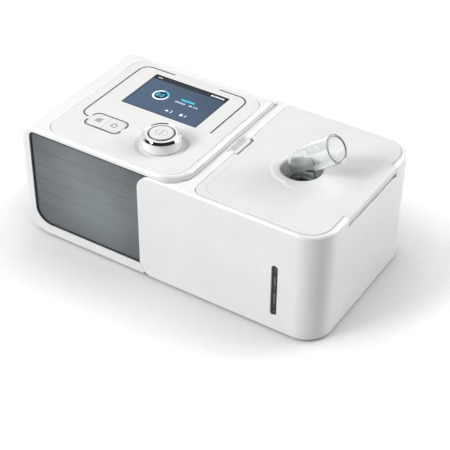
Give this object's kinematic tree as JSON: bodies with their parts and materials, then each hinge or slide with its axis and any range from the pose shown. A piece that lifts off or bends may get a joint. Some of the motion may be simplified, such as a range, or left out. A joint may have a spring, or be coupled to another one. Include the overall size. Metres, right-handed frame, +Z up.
{
  "type": "bilevel positive airway pressure machine",
  "caption": "White bedside breathing machine with a raised control deck, screen, dial and keys, and a docked heated humidifier with a hinged lid and a clear swivel outlet elbow.",
  "frame": {"origin": "under the middle of the machine, on the surface that its rubber feet stand on", "axes": "+X to the right along the machine's length, from the main unit to the humidifier; +Y from the front to the back; +Z up"},
  "size_m": [0.266, 0.145, 0.1322],
  "materials": {
    "white_gloss": "gloss",
    "white_satin": "satin",
    "panel_grey": "fine matte",
    "bright_ring": "polished",
    "screen_glass": "gloss",
    "dark_plastic": "matte",
    "clear_plastic": "clear gloss",
    "tank_plastic": "translucent gloss",
    "window_smoke": "gloss",
    "soft_rubber": "matte",
    "seal_rubber": "matte",
    "steel": "fine brushed",
    "heater_metal": "cast, turned face",
    "circuit_board": "satin",
    "foam": "open-cell foam"
  },
  "bodies": {
    "machine": {"lower_casing": "white_gloss", "upper_casing": "white_gloss", "front_frame": "white_satin", "front_panel": "panel_grey", "rear_panel": "white_satin", "filter_cover": "white_satin", "air_filter": "foam", "power_inlet": "dark_plastic", "control_plate": "white_gloss", "screen_glass": "screen_glass", "lcd_module": "dark_plastic", "display_board": "circuit_board", "button_pad": "soft_rubber", "encoder": "dark_plastic", "main_board": "circuit_board", "silencer_box": "dark_plastic", "silencer_foam": "foam", "blower_mounts": "soft_rubber", "blower_lower": "dark_plastic", "blower_upper": "dark_plastic", "motor_bearings": "steel", "blower_motor": "steel", "air_duct": "soft_rubber", "rubber_feet": "soft_rubber", "casing_screws": "steel", "humidifier_shell": "white_gloss", "humidifier_base": "white_satin", "humidifier_screws": "steel", "heater_mounts": "soft_rubber", "heater_plate": "heater_metal", "tank_plate": "steel", "water_tank": "tank_plastic", "level_window": "window_smoke", "inlet_duct": "soft_rubber", "hinge_pin": "steel"},
    "lid": {"lid": "white_gloss", "lid_seal": "soft_rubber", "outlet_socket": "white_satin", "elbow_seal": "seal_rubber"},
    "latch": {"latch": "white_satin"},
    "elbow": {"elbow": "clear_plastic"},
    "dial": {"dial": "white_gloss", "dial_ring": "bright_ring"},
    "start_button": {"start_button": "white_gloss"},
    "ramp_button": {"ramp_button": "white_gloss"},
    "home_button": {"home_button": "white_gloss"},
    "impeller": {"impeller": "white_satin", "motor_shaft": "steel"}
  },
  "joints": [
    {"name": "lid_hinge", "type": "hinge", "parent": "machine", "child": "lid", "pos_m": [0.13, 0, 0.0921], "axis": [0, 1, 0], "range_deg": [0, 100]},
    {"name": "latch_slide", "type": "slide", "parent": "lid", "child": "latch", "axis": [1, 0, 0], "range_m": [0, 0.0018], "stiffness_N_per_m": 200},
    {"name": "elbow_swivel", "type": "hinge", "parent": "lid", "child": "elbow", "pos_m": [0.0745, 0, 0.0965], "axis": [0, 0, 1], "continuous": true},
    {"name": "dial_turn", "type": "hinge", "parent": "machine", "child": "dial", "pos_m": [-0.02552, -0.0365, 0.1055], "axis": [0, 0, 1], "continuous": true},
    {"name": "start_press", "type": "slide", "parent": "machine", "child": "start_button", "axis": [0, 0, -1], "range_m": [0, 0.001], "stiffness_N_per_m": 400},
    {"name": "ramp_press", "type": "slide", "parent": "machine", "child": "ramp_button", "axis": [0, 0, -1], "range_m": [0, 0.0008], "stiffness_N_per_m": 400},
    {"name": "home_press", "type": "slide", "parent": "machine", "child": "home_button", "axis": [0, 0, -1], "range_m": [0, 0.0008], "stiffness_N_per_m": 400},
    {"name": "impeller_spin", "type": "hinge", "parent": "machine", "child": "impeller", "pos_m": [-0.08099, 0.0035, 0.0675], "axis": [0, 0, 1], "continuous": true}
  ]
}
